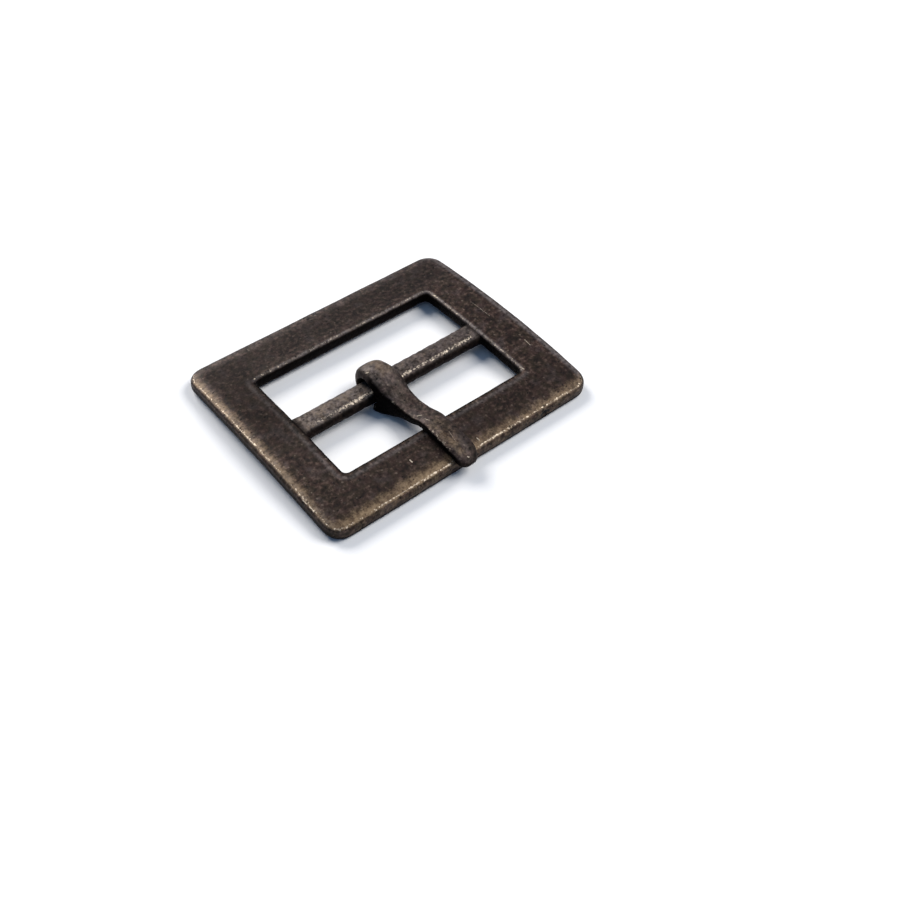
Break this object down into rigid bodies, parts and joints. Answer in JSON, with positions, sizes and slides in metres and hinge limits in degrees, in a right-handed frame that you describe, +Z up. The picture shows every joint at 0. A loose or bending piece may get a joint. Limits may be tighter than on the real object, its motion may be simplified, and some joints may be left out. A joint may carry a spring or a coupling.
{
  "type": "center bar buckle",
  "caption": "Flat rectangular center bar buckle: one arched cast frame with a bar across its window and a loose hooked prong that swings on the bar.",
  "frame": {"origin": "centre of the bounding box in X and Y, at the plane the frame's ends rest on", "axes": "+X along the bar to the right, -Y towards the end that the prong's tip rests on, +Z up out of the arched face"},
  "size_m": [0.0364, 0.0308, 0.0045],
  "materials": {
    "frame": "antique plated, dark patina rubbed through to brass along the edges",
    "prong": "antique plated, dark patina, tip rubbed brighter"
  },
  "bodies": {
    "frame": {"frame": "frame"},
    "prong": {"prong": "prong"}
  },
  "joints": [
    {"name": "prong_hinge", "type": "hinge", "parent": "frame", "child": "prong", "pos_m": [-0.00115, 0.00015, 0.00155], "axis": [-1, 0, 0], "range_deg": [0, 164]}
  ]
}
